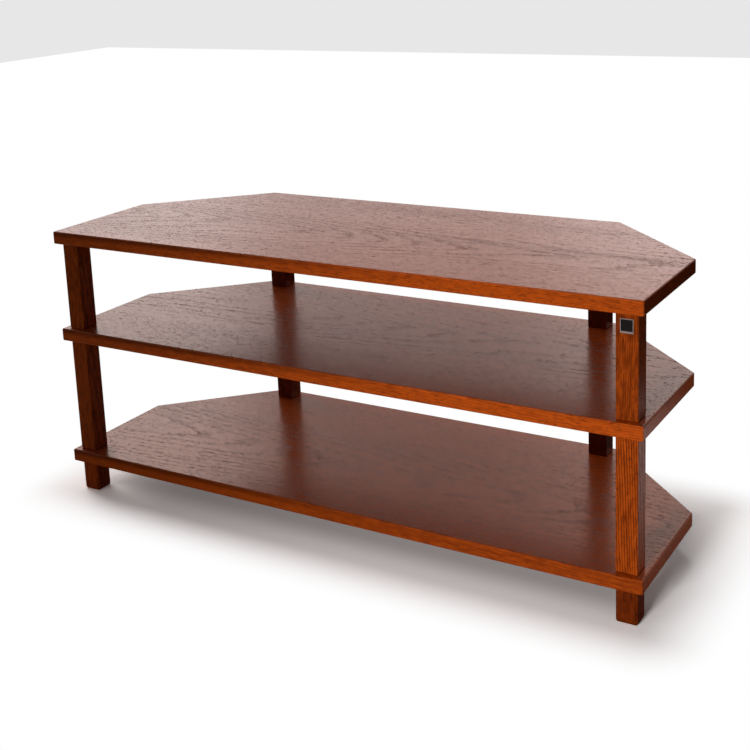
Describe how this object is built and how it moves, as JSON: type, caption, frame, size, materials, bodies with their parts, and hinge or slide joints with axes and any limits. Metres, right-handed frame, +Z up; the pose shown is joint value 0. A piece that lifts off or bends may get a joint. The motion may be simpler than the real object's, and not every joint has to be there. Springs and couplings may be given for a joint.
{
  "type": "hi-fi rack",
  "caption": "Low corner hi-fi rack in stained oak: wide hexagonal shelves with cut back corners on square stacking legs, with short feet and a small bare badge plate.",
  "frame": {"origin": "on the floor, under the middle of the shelves (the middle of the object's width and depth)", "axes": "+Z up, +X to the right seen from the front, so the long front edge faces -Y and the cut corners are at +Y"},
  "size_m": [1.2, 0.468, 0.544],
  "materials": {
    "stained_oak": "oak stained red-brown under a satin-gloss lacquer",
    "dark_oak": "oak stained darker brown under a satin lacquer",
    "badge_metal": "brushed, with a black filled field",
    "plated_steel": "zinc plated"
  },
  "bodies": {
    "root": {"top_shelf": "stained_oak", "middle_shelf": "stained_oak", "bottom_shelf": "stained_oak", "upper_leg_front_left": "stained_oak", "upper_leg_front_right": "stained_oak", "upper_leg_back_left": "stained_oak", "upper_leg_back_right": "stained_oak", "lower_leg_front_left": "stained_oak", "lower_leg_front_right": "stained_oak", "lower_leg_back_left": "stained_oak", "lower_leg_back_right": "stained_oak", "foot_front_left": "dark_oak", "foot_front_right": "dark_oak", "foot_back_left": "dark_oak", "foot_back_right": "dark_oak", "badge_plate": "badge_metal", "top_studs": "plated_steel", "middle_studs": "plated_steel", "bottom_studs": "plated_steel", "top_shelf_inserts": "plated_steel", "upper_leg_top_inserts": "plated_steel", "upper_leg_bottom_inserts": "plated_steel", "lower_leg_top_inserts": "plated_steel", "lower_leg_bottom_inserts": "plated_steel", "foot_inserts": "plated_steel"}
  },
  "joints": []
}
